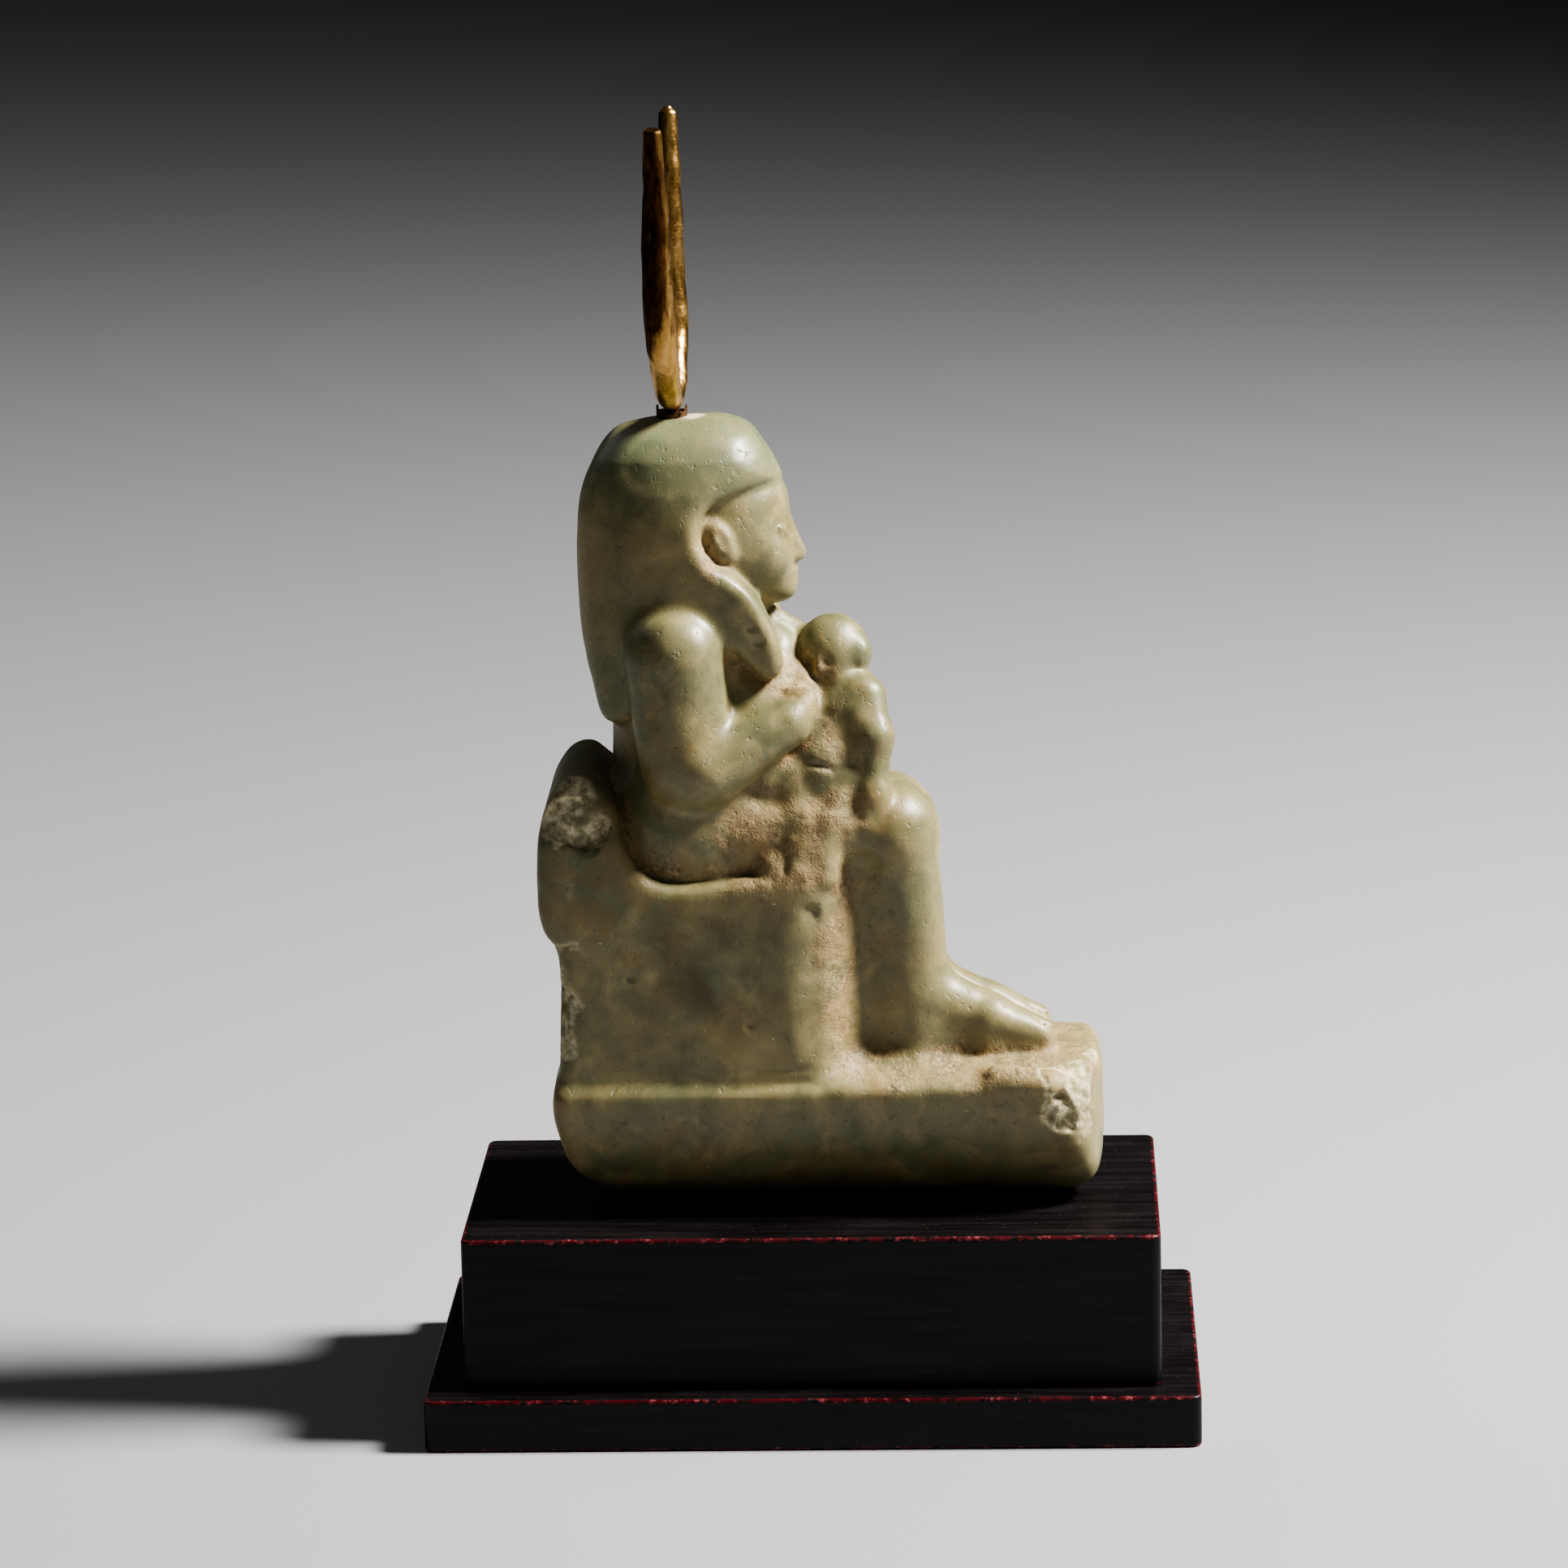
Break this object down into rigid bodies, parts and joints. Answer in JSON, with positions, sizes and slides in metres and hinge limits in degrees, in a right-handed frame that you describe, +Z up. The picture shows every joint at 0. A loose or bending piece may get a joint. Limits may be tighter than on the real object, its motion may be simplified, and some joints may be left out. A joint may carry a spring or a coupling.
{
  "type": "isis and horus figure",
  "caption": "Small carved green stone figure of a seated goddess nursing her son, crowned with gilt cow horns, on a stepped lacquered wooden stand.",
  "frame": {"origin": "centre of the stand's underside", "axes": "+Z up; the goddess looks along -Y; +X is her left side"},
  "size_m": [0.068, 0.12, 0.2029],
  "materials": {
    "green_stone": "softly polished translucent green stone with pinkish tan deposits in its hollows, pitted and chipped",
    "gilt_bronze": "hammered and worn gilding over brown bronze",
    "brown_copper": "dark brown tarnished copper alloy",
    "black_lacquer": "black lacquer over red, rubbed through to red along the edges, dusty"
  },
  "bodies": {
    "root": {"isis_and_horus": "green_stone", "cow_horns": "gilt_bronze", "horn_socket": "brown_copper", "stand_block": "black_lacquer", "stand_board": "black_lacquer"}
  },
  "joints": []
}
